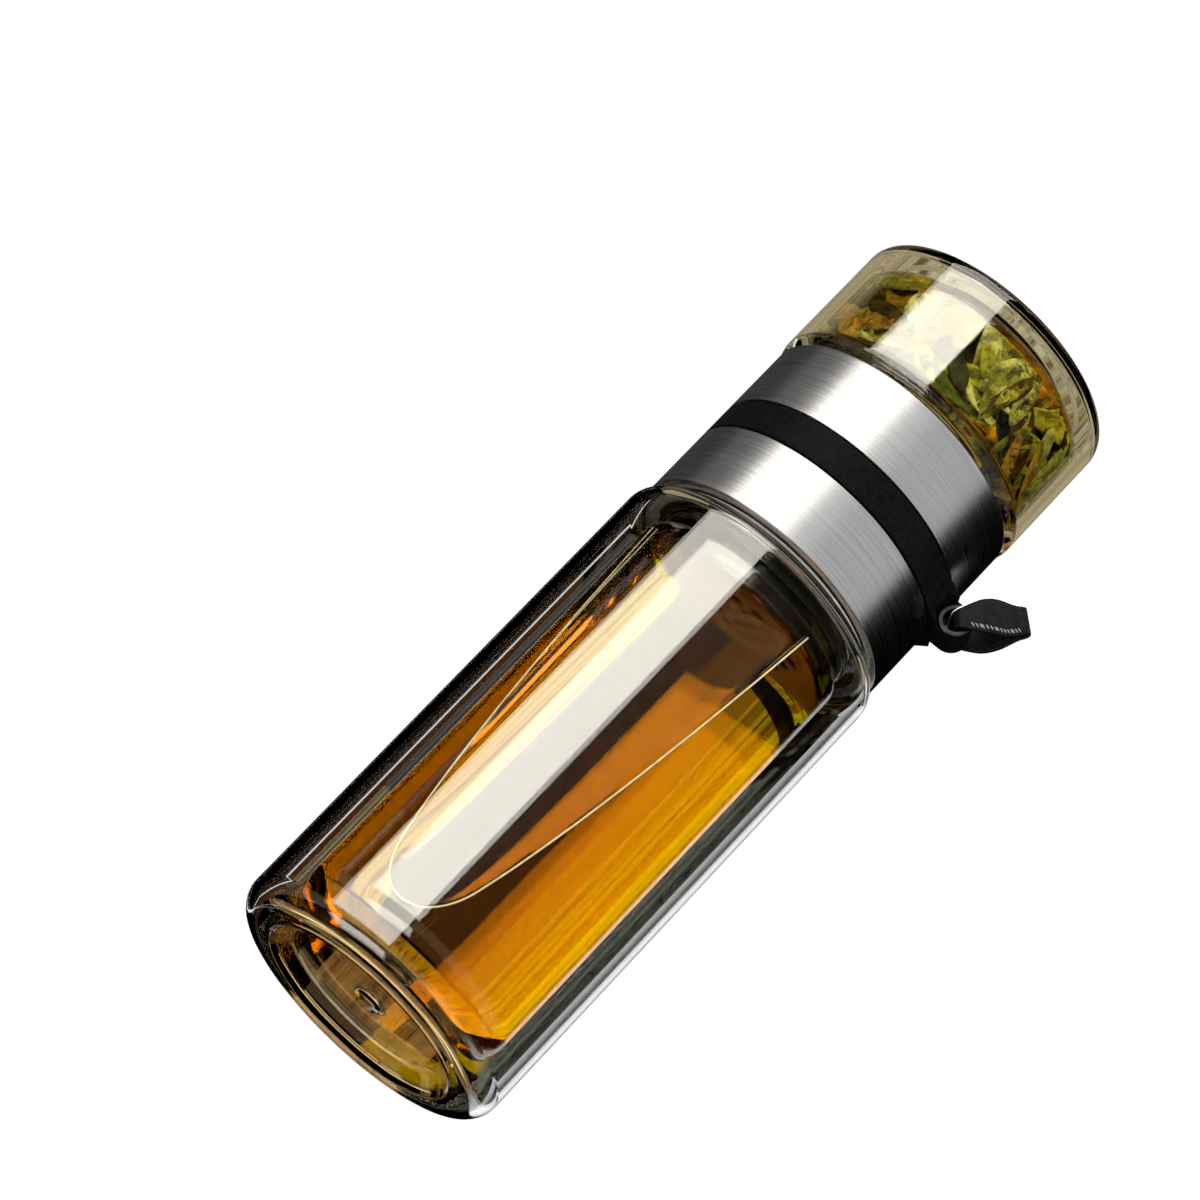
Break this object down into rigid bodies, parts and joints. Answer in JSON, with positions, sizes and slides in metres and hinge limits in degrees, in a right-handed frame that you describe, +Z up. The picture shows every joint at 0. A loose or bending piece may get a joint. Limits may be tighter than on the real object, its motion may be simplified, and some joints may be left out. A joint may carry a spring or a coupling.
{
  "type": "tea infuser bottle",
  "caption": "Double-wall glass bottle with a steel neck, a strap band and loop, a steel strainer and a double-wall glass cup that screws on top.",
  "frame": {"origin": "centre of the circle on which the base ring stands", "axes": "+Z up the bottle's axis towards the cup, +X from the axis to the strap's lug"},
  "size_m": [0.0803, 0.065, 0.1986],
  "materials": {
    "clear_glass": "clear polished glass",
    "brushed_steel": "stainless steel brushed round its axis",
    "black_metal": "blackened metal, satin",
    "black_plastic": "black plastic, satin",
    "clear_silicone": "translucent silicone",
    "black_leather": "black leather with a raised edge"
  },
  "bodies": {
    "bottle": {"outer_glass_wall": "clear_glass", "inner_glass_wall": "clear_glass", "base_seal_tip": "clear_glass", "shoulder_gasket": "clear_silicone", "lower_collar": "brushed_steel", "neck_insert": "black_plastic"},
    "band": {"strap_band": "black_plastic", "lug_eyelet": "black_metal"},
    "strap": {"strap_loop": "black_leather"},
    "gasket": {"mouth_gasket": "clear_silicone"},
    "cup": {"upper_collar": "brushed_steel", "collar_liner": "black_plastic", "cup_gasket": "clear_silicone", "cup_outer_glass": "clear_glass", "cup_inner_glass": "clear_glass", "cup_seal_tip": "clear_glass"},
    "strainer": {"strainer_rim": "black_plastic", "strainer_seal": "clear_silicone", "strainer_basket": "brushed_steel"}
  },
  "joints": [
    {"name": "band_swivel", "type": "hinge", "parent": "bottle", "child": "band", "pos_m": [0, 0, 0.14452], "axis": [0, 0, 1], "continuous": true},
    {"name": "strap_swing", "type": "hinge", "parent": "band", "child": "strap", "pos_m": [0.0347, 0, 0.14452], "axis": [0, 1, 0], "range_deg": [-27, 123]},
    {"name": "cup_rise", "type": "slide", "parent": "bottle", "child": "gasket", "axis": [0, 0, 1], "range_m": [0, 0.0082]},
    {"name": "cup_screw", "type": "hinge", "parent": "gasket", "child": "cup", "pos_m": [0, 0, 0.1573], "axis": [0, 0, 1], "range_deg": [0, 480]},
    {"name": "strainer_slide", "type": "slide", "parent": "cup", "child": "strainer", "axis": [0, 0, -1], "range_m": [0, 0.012]}
  ],
  "couplings": [
    {"joint": "cup_rise", "follows": "cup_screw", "m_per_rad": 0.00095493}
  ]
}
